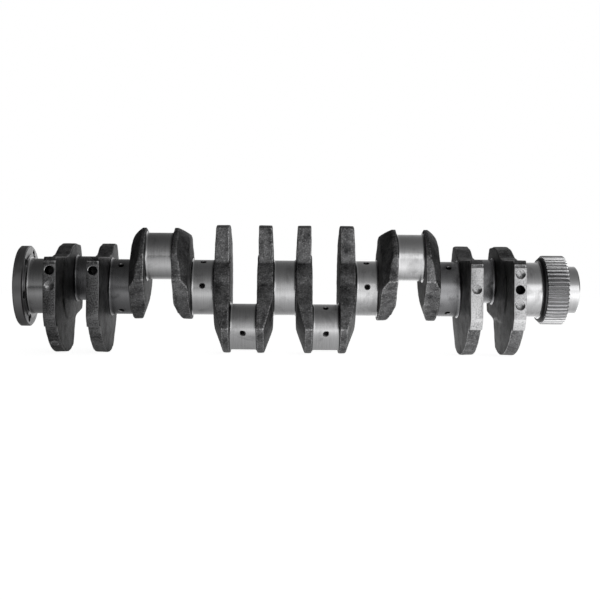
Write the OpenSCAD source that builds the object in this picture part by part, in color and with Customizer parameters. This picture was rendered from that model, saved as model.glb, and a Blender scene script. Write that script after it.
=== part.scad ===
// Crankshaft of a large in-line six-cylinder engine: seven main journals, six crankpins,
// twelve webs, eight counterweights, a bolted flange and a nose that carries a timing gear.
// The axis of rotation is X, with the gear end at +X. The origin is at the middle of the
// fourth main journal, and everything but the two ends is mirrored about it.
// Webs and journals are counted from the gear end.

/* [Main journals] */
// Distance from one cylinder's centre to the next
bore_pitch = 153; // [146:1:184]
// Diameter of a main journal
main_d = 104; // [88:1:112]
// Length of a main journal between its webs
main_len = 41; // [34:1:50]
// Diameter of the oil drillings in the main journals
main_oil_d = 9; // [7.5:0.5:12]

/* [Crankpins] */
// Distance from the axis of rotation to a crankpin's centre, half the stroke
throw_r = 77; // [66:1:93]
// Diameter of a crankpin
pin_d = 86; // [72:1:96]
// Length of a crankpin between its webs
pin_len = 49; // [41:0.2:59]
// Diameter of the oil drilling in a crankpin
pin_oil_d = 8; // [5:0.25:8.25]
// Angle of the first and sixth throws, from +Y towards +Z
throw_phase = 12; // [0:1:359]

/* [Webs] */
// Diameter of a web's hub where it meets its main journal
hub_d = 122; // [116:1:128]
// Draft of the main journal face of a web, outwards from its hub
web_draft = 3; // [1:0.5:5]
// Draft of the main journal face of the end throws' webs
end_web_draft = 4.5; // [2:0.5:6]
// Steel beyond the crankpin at the end of a web
end_margin = 4; // [3:0.5:10]
// Steel beyond the crankpin on the webs of the end throws
end_web_margin = 14; // [8:0.5:18]
// Steel on the slim flank of a crankpin
flank_margin = 27; // [18:1:32]
// Steel on the heavy flank of the webs that have no counterweight
heavy_flank_margin = 33; // [24:1:38]
// Radius about the main axis at which the bevel of a middle throw's web starts
bevel_start = 80; // [74:1:92]
// Radius at which the bevel of a web without a counterweight starts
heavy_bevel_start = 98; // [90:1:106]
// Radius at which the bevel of an end throw's web starts
end_bevel_start = 118; // [106:1:126]
// Angle of the web bevels from a plane square to the axis, and of the crankpin side bevels
bevel_angle = 20; // [15:1:30]
// The same angle on the webs without a counterweight
heavy_bevel_angle = 38; // [25:1:42]

/* [Counterweights] */
// Outer radius of the counterweights of the end throws
end_weight_r = 124.5; // [112:0.5:150]
// Outer radius of the counterweights of the middle throws
middle_weight_r = 119; // [108:0.5:143]
// How far a counterweight lies below the crankpin face of its web
weight_recess = 2; // [1:0.5:5]
// Distance from the axis to the flat pad on the end counterweights
pad_r = 122.5; // [112:0.5:147]
// Diameter of the balance drillings
balance_d = 16.5; // [8:0.5:18]
// Distance from one balance drilling to the next
balance_pitch = 28; // [22:1:34]
// Depth of a full balance drilling
balance_deep = 30; // [12:1:40]
// Depth of a shallow balance drilling
balance_shallow = 5; // [3:0.5:10]

/* [Rear flange] */
// Diameter of the flange
flange_d = 152; // [144:1:184]
// Thickness of the flange
flange_t = 18.5; // [14:0.5:24]
// Number of flywheel bolts
bolt_count = 6; // [6:1:8]
// Diameter of the bolt circle
bolt_circle_d = 126; // [118:1:128]
// Diameter of a bolt hole
bolt_hole_d = 13; // [10:0.5:15]
// Diameter of the pilot bearing bore
pilot_d = 52; // [40:1:62]
// Depth of the pilot bearing bore
pilot_depth = 16; // [10:1:17]
// Diameter of the flywheel dowel
dowel_d = 10; // [8:0.5:12]
// Length of the flywheel dowel
dowel_len = 22; // [18:1:30]
// How far the dowel sinks into the flange
dowel_seat = 14; // [10:1:14]

/* [Nose and timing gear] */
// Module of the timing gear's teeth
gear_module = 2.5; // [2.5:0.05:3]
// Number of teeth on the timing gear
gear_teeth = 50; // [48:1:60]
// Face width of the timing gear
gear_w = 40; // [30:1:48]
// Diameter of the gear seat, a press fit in the gear
seat_d = 96; // [94:1:104]
// Diameter of the nose
nose_d = 90; // [76:1:93]
// Length of the nose beyond the gear
nose_len = 24; // [18:1:34]
// Width of the shoulder between the first main journal and the gear
shoulder_w = 6; // [4:0.5:10]
// Width of the gear key
key_w = 10; // [8:0.5:14]
// Height of the gear key
key_h = 8; // [6:0.5:9]
// Length of the gear key
key_len = 28; // [20:1:29]
// Diameter of the bore in the nose
nose_bore_d = 21; // [14:0.5:30]
// Depth of the bore in the nose
nose_bore_depth = 45; // [30:1:60]

/* [Hidden] */
$fn = 96;

main_r = main_d / 2;
pin_r = pin_d / 2;
hub_r = hub_d / 2;
seat_r = seat_d / 2;
nose_r = nose_d / 2;
main_count = 7;
pin_count = 6;
throw_step = 120;
web_start = main_len / 2;
web_len = (bore_pitch - main_len - pin_len) / 2;
web_end_r = throw_r + pin_r + end_margin;
end_web_end_r = throw_r + pin_r + end_web_margin;
cheek_root = hub_r - 4;
cheek_half_w = pin_r + flank_margin;
heavy_half_w = pin_r + heavy_flank_margin;
pin_bevel_start = web_end_r * 0.73;
edge_chamfer = 2;

gear_x = main_x(1) + main_len / 2 + shoulder_w;
nose_end_x = gear_x + gear_w + nose_len;
flange_neck = 1.5;
flange_x = main_x(main_count) - main_len / 2 - flange_neck;
flange_face_x = flange_x - flange_t;
first_bolt_angle = 16;
dowel_angle = first_bolt_angle + 180 / bolt_count;

// Counterweight edges, as angles from the throw, and the points where they meet the web
end_edges = [142.7, 281.7];
end_feet = [[2, cheek_root], [throw_r * 0.78, 2 - cheek_half_w]];
middle_edges = [92, 218];
middle_feet = [[throw_r * 0.38, cheek_half_w - 6], polar(hub_r + 0.5, -122)];
pad_turn = 168;
pad_low = 73;
pad_top = 34;
pad_corner_r = pad_r + 11.5;
rim_drill_turn = -134;

// Middle of main journal k and of crankpin k along the shaft
function main_x(k) = (main_count + 1) / 2 * bore_pitch - k * bore_pitch;
function pin_x(k) = (pin_count + 1) / 2 * bore_pitch - k * bore_pitch;
function is_end_throw(k) = k == 1 || k == pin_count;
function is_middle_throw(k) = k == 3 || k == 4;
function is_heavy_throw(k) = !is_end_throw(k) && !is_middle_throw(k);
function throw_index(k) = is_end_throw(k) ? 0 : is_middle_throw(k) ? 2 : 1;
function throw_angle(k) = throw_phase + throw_step * throw_index(k);
function pin_of_web(w) = ceil(w / 2);
function main_of_web(w) = floor(w / 2) + 1;
function polar(r, a) = [r * cos(a), r * sin(a)];

// A point beyond the rim of radius r, on the line from a foot through the rim at angle a
function past_rim(r, a, foot) = foot + 1.3 * (polar(r, a) - foot);

// Lays a flat shape across the shaft, with its x on Y and its y on Z, from x = at to at + t
module across(at, t) {
    translate([at, 0, 0]) rotate([90, 0, 90]) linear_extrude(t) children();
}

// A round bar along the shaft
module bar(at, t, r) {
    across(at, t) circle(r);
}

// A cone frustum along the shaft
module taper(at, t, r1, r2) {
    translate([at, 0, 0]) rotate([0, 90, 0]) cylinder(h = t, r1 = r1, r2 = r2);
}

// A drilling square to the shaft at x, at angle a from +Y, from radius r1 out to radius r2
module cross_drill(x, a, d, r1, r2) {
    translate([x, 0, 0]) rotate([a - 90, 0, 0]) translate([0, 0, r1]) cylinder(h = r2 - r1, d = d);
}

gallery_turn = -57;
drill_start = main_oil_d * 0.45;
drill_meeting_r = main_oil_d * 0.8;

// The straight oil gallery from the middle of a main journal to the surface of crankpin k
module oil_gallery(k) {
    m = k <= pin_count / 2 ? k : k + 1;
    dx = pin_x(k) - main_x(m);
    outlet = polar(throw_r, throw_angle(k)) + polar(pin_r, throw_angle(k) + gallery_turn);
    reach = norm([dx, outlet[0], outlet[1]]);
    rise = norm(outlet);
    translate([main_x(m), 0, 0])
        rotate([atan2(outlet[1], outlet[0]), 0, 0])
            rotate([0, 0, atan2(rise, dx)])
                rotate([0, 90, 0]) translate([0, 0, drill_start])
                    cylinder(h = reach - drill_start + 4, d = pin_oil_d);
}

// Angles of the oil drillings seen round each main journal
main_drillings = [[60, 300], [130, 240], [177, 114], [60], [177, 114], [130, 240], [60, 300]];

module main_journal(k) {
    color("silver") difference() {
        bar(main_x(k) - main_len / 2, main_len, main_r);
        translate([main_x(k), 0, 0]) sphere(drill_meeting_r);
        for (a = main_drillings[k - 1])
            cross_drill(main_x(k), a, main_oil_d, drill_start, main_r + 1);
        if (k <= pin_count / 2) oil_gallery(k);
        if (k > pin_count / 2 + 1) oil_gallery(k - 1);
    }
}

// The one crankpin with a second oil outlet, and that outlet's angle from +Y
cross_drilled_pin = 3;
cross_drill_angle = 123;
cross_drill_depth = 22;

module crankpin(k) {
    centre = polar(throw_r, throw_angle(k));
    color("gainsboro") difference() {
        translate([0, centre[0], centre[1]]) bar(pin_x(k) - pin_len / 2, pin_len, pin_r);
        oil_gallery(k);
        if (k == cross_drilled_pin) translate([0, centre[0], centre[1]])
            cross_drill(pin_x(k), cross_drill_angle, pin_oil_d, pin_r - cross_drill_depth, pin_r + 1);
    }
}
// Flanks of a web's cheek from the main axis to its end, with the throw along +x. The heavy
// cheek bulges below the main journal and has both end corners cut.
heavy_flank = [
    [-hub_r * 0.15, hub_r * 1.08], [throw_r * 0.3, heavy_half_w - 2],
    [throw_r * 1.1, heavy_half_w], [web_end_r * 0.965, heavy_half_w / 2]
];
heavy_back = [[web_end_r * 0.935, -cheek_half_w / 2], [throw_r * 0.86, -cheek_half_w], [0, -cheek_root]];
plain_flank = [
    [0, cheek_root], [throw_r * 0.6, cheek_half_w], [throw_r, cheek_half_w],
    [throw_r * 1.45, cheek_half_w * 0.88]
];
plain_back = [[throw_r * 1.45, -cheek_half_w], [throw_r * 0.7, -cheek_half_w], [0, -cheek_root]];

function web_reach(k) = is_end_throw(k) ? end_web_end_r : web_end_r;

module cheek_outline(k) {
    heavy = is_heavy_throw(k);
    intersection() {
        circle(web_reach(k));
        polygon(concat(
            heavy ? heavy_flank : plain_flank,
            [[1.5 * end_web_end_r, 0]],
            heavy ? heavy_back : plain_back
        ));
    }
    circle(hub_r);
}

// The wedge that a counterweight fills, with the throw along +x
module wedge_outline(r, edges, feet) {
    polygon(concat(
        [[0, 0], feet[0], past_rim(r, edges[0], feet[0])],
        [for (t = [0:4]) polar(2 * r, edges[0] + t * (edges[1] - edges[0]) / 4)],
        [past_rim(r, edges[1], feet[1]), feet[1]]
    ));
}

// The round rim of an end counterweight with the flat pad that its balance holes are drilled in
module padded_rim() {
    intersection() {
        union() {
            circle(end_weight_r);
            intersection() {
                circle(pad_corner_r);
                rotate(pad_turn) translate([0, -pad_top]) square([pad_r, pad_low + pad_top]);
            }
        }
        rotate(pad_turn) translate([-2 * end_weight_r, -2 * end_weight_r])
            square([2 * end_weight_r + pad_r, 4 * end_weight_r]);
    }
}

// Places a web drawn from its main journal outwards along +X, and turned to its throw
module place_web(w) {
    translate([main_x(main_of_web(w)), 0, 0])
        mirror([w % 2, 0, 0])
            rotate([throw_angle(pin_of_web(w)), 0, 0])
                children();
}

// How far from its main journal's middle a web's drafted face lies at radius r
function draft_of(k) = is_end_throw(k) ? end_web_draft : web_draft;
function face_at(k, r) = web_start + (r - hub_r) * tan(draft_of(k));

// The round blank of a web with its drafted main journal face, bevelled from radius bevel_r
module web_blank(k, bevel_r, angle) {
    reach = web_reach(k) + 30;
    bevel_x = face_at(k, bevel_r);
    bevel_depth = (reach - bevel_r) * tan(angle);
    taper(web_start, bevel_x - web_start, hub_r, bevel_r);
    taper(bevel_x, bevel_depth, bevel_r, reach);
    bar(bevel_x + bevel_depth, 2 * web_len, reach);
}

module web(w) {
    k = pin_of_web(w);
    heavy = is_heavy_throw(k);
    bevel_r = heavy ? heavy_bevel_start : is_end_throw(k) ? end_bevel_start : bevel_start;
    color("dimgray") difference() {
        place_web(w) intersection() {
            across(web_start, web_len) cheek_outline(k);
            web_blank(k, bevel_r, heavy ? heavy_bevel_angle : bevel_angle);
            if (heavy) pin_side_bevel(web_start + web_len, web_end_r + throw_r - pin_bevel_start);
        }
        gallery_through_web(w);
    }
}

// Cone round the crankpin that bevels the far end of a heavy web on its crankpin side
module pin_side_bevel(face, run) {
    depth = run * tan(bevel_angle);
    translate([0, throw_r, 0]) {
        taper(face - depth, depth + 1, pin_bevel_start + run, pin_bevel_start);
        bar(face - depth - 4 * web_len, 4 * web_len, pin_bevel_start + run);
    }
}

module gallery_through_web(w) {
    k = pin_of_web(w);
    fed = k <= pin_count / 2 ? main_of_web(w) == k : main_of_web(w) == k + 1;
    if (fed) oil_gallery(k);
}

drill_point = 3;

// Drilling into the pad of an end counterweight: its number of steps along the pad and its depth
module pad_drilling(x, step, depth) {
    rotate([pad_turn, 0, 0]) translate([x, pad_r - depth, step * balance_pitch])
        rotate([-90, 0, 0]) cylinder(h = depth + 20, d = balance_d);
    rotate([pad_turn, 0, 0]) translate([x, pad_r - depth - drill_point, step * balance_pitch])
        rotate([-90, 0, 0]) cylinder(h = drill_point, d1 = 1, d2 = balance_d);
}

// Balance drillings of each end counterweight, as [step along the pad, depth]
function pad_drillings(w) =
    w == 1 ? [[-1, balance_shallow], [0, balance_deep], [1, balance_shallow]] :
    w == 2 ? [[0, balance_shallow]] :
    w == 11 ? [[-1, balance_deep]] :
    w == 12 ? [[-1, balance_deep], [0, balance_shallow]] : [];

module counterweight(w) {
    k = pin_of_web(w);
    at_end = is_end_throw(k);
    r = at_end ? end_weight_r : middle_weight_r;
    plate = face_at(k, r);
    back = web_start + web_len - weight_recess;
    mid = (plate + back) / 2;
    color("gray") place_web(w) difference() {
        intersection() {
            across(web_start, back - web_start) difference() {
                intersection() {
                    wedge_outline(r, at_end ? end_edges : middle_edges, at_end ? end_feet : middle_feet);
                    if (at_end) padded_rim();
                    else circle(r);
                }
                cheek_outline(k);
            }
            web_blank(k, r, draft_of(k));
        }
        for (d = pad_drillings(w)) pad_drilling(mid, d[0], d[1]);
        if (w == main_count + pin_count - 1)
            translate([mid, 0, 0]) rotate([rim_drill_turn, 0, 0])
                translate([0, end_weight_r - balance_shallow, 0])
                    rotate([-90, 0, 0]) cylinder(h = 20, d = balance_d);
    }
}

module rear_flange() {
    color("silver") difference() {
        union() {
            bar(flange_x, flange_neck, hub_r);
            bar(flange_face_x + edge_chamfer, flange_t - 2 * edge_chamfer, flange_d / 2);
            taper(flange_face_x, edge_chamfer, flange_d / 2 - edge_chamfer, flange_d / 2);
            taper(flange_x - edge_chamfer, edge_chamfer, flange_d / 2, flange_d / 2 - edge_chamfer);
        }
        for (i = [0:bolt_count - 1])
            rotate([first_bolt_angle + i * 360 / bolt_count, 0, 0])
                translate([0, bolt_circle_d / 2, 0])
                    bar(flange_face_x - 1, flange_t + flange_neck + 2, bolt_hole_d / 2);
        bar(flange_face_x - 1, pilot_depth + 1, pilot_d / 2);
        dowel_bar(flange_face_x - 1, dowel_seat + 1);
    }
}

// The dowel's place in the flange, used by both the dowel and its hole
module dowel_bar(at, t) {
    rotate([dowel_angle, 0, 0]) translate([0, bolt_circle_d / 2, 0]) bar(at, t, dowel_d / 2);
}

module flange_dowel() {
    color("lightgray") dowel_bar(flange_face_x + dowel_seat - dowel_len, dowel_len);
}

module front_shoulder() {
    chamfer = shoulder_w / 2;
    color("silver") {
        taper(gear_x - shoulder_w, chamfer, hub_r - chamfer, hub_r);
        bar(gear_x - shoulder_w + chamfer, shoulder_w - chamfer, hub_r);
    }
}

// The key's block, used by the key and by both keyways
module key_block(x1, x2) {
    translate([x1, -key_w / 2, seat_r - key_h / 2]) cube([x2 - x1, key_w, key_h]);
}

module front_nose() {
    color("silver") difference() {
        union() {
            bar(gear_x, gear_w, seat_r);
            bar(gear_x + gear_w, nose_len - edge_chamfer, nose_r);
            taper(nose_end_x - edge_chamfer, edge_chamfer, nose_r, nose_r - edge_chamfer);
        }
        key_block(gear_x + gear_w - key_len, gear_x + gear_w + 1);
        bar(nose_end_x - nose_bore_depth, nose_bore_depth + 1, nose_bore_d / 2);
    }
}

module gear_key() {
    color("lightgray") key_block(gear_x + gear_w - key_len, gear_x + gear_w);
}

// Involute angle, in degrees, at pressure angle a
function inv(a) = tan(a) * 180 / PI - a;
pressure_angle = 20;
gear_pitch_r = gear_module * gear_teeth / 2;
gear_tip_r = gear_pitch_r + gear_module;
gear_root_r = gear_pitch_r - 1.25 * gear_module;
gear_base_r = gear_pitch_r * cos(pressure_angle);
flank_radii = [gear_root_r, gear_pitch_r - gear_module * 0.4, gear_pitch_r + gear_module * 0.4, gear_tip_r];

// Half the angle that a tooth takes up at radius r
function half_tooth(r) =
    90 / gear_teeth + inv(pressure_angle) - inv(acos(min(1, gear_base_r / r)));

module gear_outline() {
    flank_points = len(flank_radii);
    polygon([
        for (i = [0:gear_teeth - 1], j = [0:2 * flank_points - 1])
            let (
                rising = j < flank_points,
                r = flank_radii[rising ? j : 2 * flank_points - 1 - j],
                side = rising ? -1 : 1
            )
            polar(r, i * 360 / gear_teeth + side * half_tooth(r))
    ]);
}

module timing_gear() {
    color("lightgray") difference() {
        across(gear_x, gear_w) difference() {
            gear_outline();
            circle(seat_r);
        }
        key_block(gear_x - 1, gear_x + gear_w + 1);
    }
}

rear_flange();
flange_dowel();
main_journal(1);  // main_journal_1
main_journal(2);  // main_journal_2
main_journal(3);  // main_journal_3
main_journal(4);  // main_journal_4
main_journal(5);  // main_journal_5
main_journal(6);  // main_journal_6
main_journal(7);  // main_journal_7
crankpin(1);  // crankpin_1
crankpin(2);  // crankpin_2
crankpin(3);  // crankpin_3
crankpin(4);  // crankpin_4
crankpin(5);  // crankpin_5
crankpin(6);  // crankpin_6
web(1);  // web_1
web(2);  // web_2
web(3);  // web_3
web(4);  // web_4
web(5);  // web_5
web(6);  // web_6
web(7);  // web_7
web(8);  // web_8
web(9);  // web_9
web(10);  // web_10
web(11);  // web_11
web(12);  // web_12
counterweight(1);  // counterweight_1
counterweight(2);  // counterweight_2
counterweight(5);  // counterweight_5
counterweight(6);  // counterweight_6
counterweight(7);  // counterweight_7
counterweight(8);  // counterweight_8
counterweight(11);  // counterweight_11
counterweight(12);  // counterweight_12
front_shoulder();
front_nose();
timing_gear();
gear_key();
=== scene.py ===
"""Looks of a forged and ground six-cylinder crankshaft, built round its CAD frame.

Shapes are worked out in millimetres and turned to metres when a piece is finished. A web is drawn in
its own frame: x runs along the shaft from its main journal's middle towards its crankpin, y along the
throw and z across it.
"""

import logging
import math
from dataclasses import dataclass, field
from enum import Enum
from typing import Any, Iterable, Sequence

import bmesh
import bpy
from mathutils import Matrix, Vector

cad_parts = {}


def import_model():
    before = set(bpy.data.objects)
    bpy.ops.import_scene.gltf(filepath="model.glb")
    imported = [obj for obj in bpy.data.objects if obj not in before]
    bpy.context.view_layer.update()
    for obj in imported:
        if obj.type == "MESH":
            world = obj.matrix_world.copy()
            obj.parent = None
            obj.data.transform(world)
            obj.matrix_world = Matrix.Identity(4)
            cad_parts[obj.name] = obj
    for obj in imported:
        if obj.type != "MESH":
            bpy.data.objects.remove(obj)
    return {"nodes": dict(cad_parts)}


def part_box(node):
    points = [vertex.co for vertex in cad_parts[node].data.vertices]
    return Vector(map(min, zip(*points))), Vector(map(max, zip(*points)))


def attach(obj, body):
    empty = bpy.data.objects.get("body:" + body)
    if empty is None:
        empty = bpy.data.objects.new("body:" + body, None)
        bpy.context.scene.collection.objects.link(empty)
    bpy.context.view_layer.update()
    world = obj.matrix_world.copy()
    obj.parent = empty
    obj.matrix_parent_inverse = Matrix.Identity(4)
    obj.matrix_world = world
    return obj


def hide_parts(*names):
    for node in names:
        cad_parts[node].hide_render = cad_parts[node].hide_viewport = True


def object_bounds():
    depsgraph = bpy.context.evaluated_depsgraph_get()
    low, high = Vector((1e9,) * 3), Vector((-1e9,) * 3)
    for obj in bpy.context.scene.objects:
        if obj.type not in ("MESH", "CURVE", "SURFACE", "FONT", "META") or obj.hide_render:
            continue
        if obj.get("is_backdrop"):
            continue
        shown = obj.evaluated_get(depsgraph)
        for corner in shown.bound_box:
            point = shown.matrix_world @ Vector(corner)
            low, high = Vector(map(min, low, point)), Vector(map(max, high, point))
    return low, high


LOG = logging.getLogger("crankshaft")
MM = 0.001
AXIS = Vector((1.0, 0.0, 0.0))
# Vertex attribute of a web: 0 where it faces along the shaft and 1 where it faces away from it.
FLANK = "flank"
SHARP_ANGLE = math.radians(35)
MAIN_COUNT = 7
PIN_COUNT = 6
WEB_COUNT = 12

Point = tuple[float, float]


# --------------------------------------------------------------------------- node and mesh helpers


def linear(hex_code: str) -> tuple[float, float, float, float]:
    """Turns an sRGB hex colour to linear RGBA.

    Args:
        hex_code: Six hex digits, with or without the hash.

    Returns:
        The linear colour, with alpha 1.
    """
    digits = hex_code.lstrip("#")
    channels = [int(digits[i : i + 2], 16) / 255 for i in (0, 2, 4)]
    red, green, blue = [c / 12.92 if c <= 0.04045 else ((c + 0.055) / 1.055) ** 2.4 for c in channels]
    return (red, green, blue, 1.0)


def per_mm(size: float) -> float:
    """Pattern scale, per metre of Object coordinates, for a feature of that size in millimetres."""
    return 1 / (size * MM)


def add_node(
    tree: bpy.types.NodeTree, kind: str, inputs: dict | None = None, **settings: Any
) -> bpy.types.Node:
    """Adds a node with its settings and links.

    Args:
        tree: Node tree that takes the node.
        kind: Node type, such as ShaderNodeMath.
        inputs: Input name or number, with a value or with the output socket to link from.
        **settings: Properties of the node.

    Returns:
        The new node.
    """
    node = tree.nodes.new(kind)
    for name, value in settings.items():
        setattr(node, name, value)
    for key, value in (inputs or {}).items():
        if isinstance(value, bpy.types.NodeSocket):
            tree.links.new(value, node.inputs[key])
        else:
            node.inputs[key].default_value = value
    return node


def set_ramp(node: bpy.types.Node, stops: Sequence[tuple[float, str]]) -> None:
    """Sets a colour ramp's stops.

    Args:
        node: A Color Ramp node.
        stops: Position and hex colour of each stop, in order.
    """
    elements = node.color_ramp.elements
    while len(elements) < len(stops):
        elements.new(1.0)
    for element, (position, hex_code) in zip(elements, stops):
        element.position = position
        element.color = linear(hex_code)


def tidy_shell(bm: bmesh.types.BMesh) -> None:
    """Merges doubles and turns a closed shell's faces outwards."""
    bmesh.ops.remove_doubles(bm, verts=bm.verts, dist=1e-3)
    bmesh.ops.recalc_face_normals(bm, faces=bm.faces)


def lathe(profile: Sequence[Point], steps: int = 192) -> bmesh.types.BMesh:
    """Turns a profile round the x axis.

    Args:
        profile: Points (x, radius), open where it meets the axis.
        steps: Faces round the axis.

    Returns:
        The turned shell.
    """
    bm = bmesh.new()
    verts = [bm.verts.new((x, radius, 0)) for x, radius in profile]
    edges = [bm.edges.new(pair) for pair in zip(verts, verts[1:])]
    bmesh.ops.spin(
        bm, geom=verts + edges, cent=(0, 0, 0), axis=AXIS, angle=math.tau, steps=steps, use_merge=True
    )
    tidy_shell(bm)
    return bm


def disc(start: float, end: float, radius: float) -> bmesh.types.BMesh:
    """A plain round disc from x = start to x = end."""
    return lathe([(start, 0), (start, radius), (end, radius), (end, 0)])


def trim(bm: bmesh.types.BMesh, point: Vector, outward: Vector) -> None:
    """Cuts off what lies beyond a plane and closes the cut.

    Args:
        bm: A closed convex shell.
        point: A point of the plane.
        outward: The plane's normal, towards what is cut off.
    """
    geom = [*bm.verts, *bm.edges, *bm.faces]
    cut = bmesh.ops.bisect_plane(bm, geom=geom, plane_co=point, plane_no=outward, clear_outer=True)
    rim = [e for e in cut["geom_cut"] if isinstance(e, bmesh.types.BMEdge)]
    bmesh.ops.holes_fill(bm, edges=rim, sides=0)


def trim_edge(bm: bmesh.types.BMesh, a: Point, b: Point, inside: Point) -> None:
    """Trims a shell along a straight line, seen along the shaft.

    Args:
        bm: A closed convex shell.
        a: A point (y, z) of the line.
        b: Another point of the line.
        inside: A point on the side that is kept.
    """
    normal = Vector((0, b[1] - a[1], a[0] - b[0])).normalized()
    start = Vector((0, *a))
    if normal.dot(Vector((0, *inside)) - start) > 0:
        normal.negate()
    trim(bm, start, normal)


def to_mesh(name: str, shells: Iterable[bmesh.types.BMesh], materials: Sequence = ()) -> bpy.types.Mesh:
    """Gathers shells in one mesh and frees them.

    Args:
        name: Mesh name.
        shells: The shells, which may overlap.
        materials: Materials of the mesh, by the faces' material index.

    Returns:
        The mesh.
    """
    gathered = bmesh.new()
    for shell in shells:
        part = bpy.data.meshes.new("part")
        shell.to_mesh(part)
        shell.free()
        gathered.from_mesh(part)
        bpy.data.meshes.remove(part)
    mesh = bpy.data.meshes.new(name)
    gathered.to_mesh(mesh)
    gathered.free()
    for material in materials:
        mesh.materials.append(material)
    return mesh


def link(name: str, mesh: bpy.types.Mesh) -> bpy.types.Object:
    """Puts a mesh in the scene as an object at the origin.

    Args:
        name: Object name.
        mesh: Its mesh.

    Returns:
        The object.
    """
    obj = bpy.data.objects.new(name, mesh)
    bpy.context.scene.collection.objects.link(obj)
    return obj


def baked(obj: bpy.types.Object) -> bpy.types.Mesh:
    """Applies an object's modifiers.

    Args:
        obj: Object to evaluate. It is removed.

    Returns:
        The evaluated mesh, with its materials.
    """
    graph = bpy.context.evaluated_depsgraph_get()
    mesh = bpy.data.meshes.new_from_object(obj.evaluated_get(graph), depsgraph=graph)
    old = obj.data
    bpy.data.objects.remove(obj)
    bpy.data.meshes.remove(old)
    return mesh


class Cut(Enum):
    """How two solids are put together."""

    DIFFERENCE = "DIFFERENCE"
    INTERSECT = "INTERSECT"


def carve(mesh: bpy.types.Mesh, tools: bpy.types.Mesh, how: Cut = Cut.DIFFERENCE) -> bpy.types.Mesh:
    """Cuts a mesh with another, whose materials line the cut.

    Args:
        mesh: Mesh to cut.
        tools: The cutting solids. They are removed.
        how: Whether the tools' inside is taken away or kept.

    Returns:
        The cut mesh.
    """
    obj = link("blank", mesh)
    cutter = link("cutter", tools)
    modifier = obj.modifiers.new("carve", "BOOLEAN")
    modifier.operation = how.value
    modifier.solver = "EXACT"
    modifier.material_mode = "TRANSFER"
    modifier.object = cutter
    result = baked(obj)
    bpy.data.objects.remove(cutter)
    bpy.data.meshes.remove(tools)
    return result


def drill(
    mouth: Vector, inward: Vector, bore: float, depth: float, chamfer: float, bright: bool = False
) -> bmesh.types.BMesh:
    """The shape that a drill and a countersink take out.

    Args:
        mouth: Middle of the hole's mouth.
        inward: Direction of drilling.
        bore: Hole diameter.
        depth: Depth to the drill's shoulder.
        chamfer: Width of the countersink, whose faces have material index 1.
        bright: Whether all its faces have that index.

    Returns:
        The cutting shell.
    """
    radius = bore / 2
    clear = 7.0
    point = radius * 0.45
    bm = lathe(
        [
            (-clear, 0),
            (-clear, radius + (chamfer + clear if chamfer else 0)),
            (chamfer, radius),
            (depth, radius),
            (depth + point, 0),
        ],
        48,
    )
    for face in bm.faces:
        face.material_index = 1 if bright or face.calc_center_median().x < chamfer else 0
    turn = AXIS.rotation_difference(inward).to_matrix().to_4x4()
    bmesh.ops.transform(bm, matrix=Matrix.Translation(mouth) @ turn, verts=bm.verts)
    return bm


def box_mm(node: str) -> tuple[Vector, Vector]:
    """Lowest and highest corners of a CAD node, in millimetres."""
    low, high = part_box(node)
    return low / MM, high / MM


def finish_piece(name: str, mesh: bpy.types.Mesh, nodes: Sequence[str]) -> bpy.types.Object:
    """Turns a mesh from millimetres to a finished piece that stands for CAD nodes.

    Args:
        name: Piece name.
        mesh: Mesh in millimetres, in its place on the shaft.
        nodes: CAD nodes that the piece stands for.

    Returns:
        The piece's object.
    """
    mesh.transform(Matrix.Scale(MM, 4))
    mesh.name = name
    mesh.shade_smooth()
    mesh.set_sharp_from_angle(angle=SHARP_ANGLE)
    obj = link(name, mesh)
    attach(obj, "root")
    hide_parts(*nodes)
    LOG.info("%s: %d faces", name, len(mesh.polygons))
    return obj


# --------------------------------------------------------------------------- finishes


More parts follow.
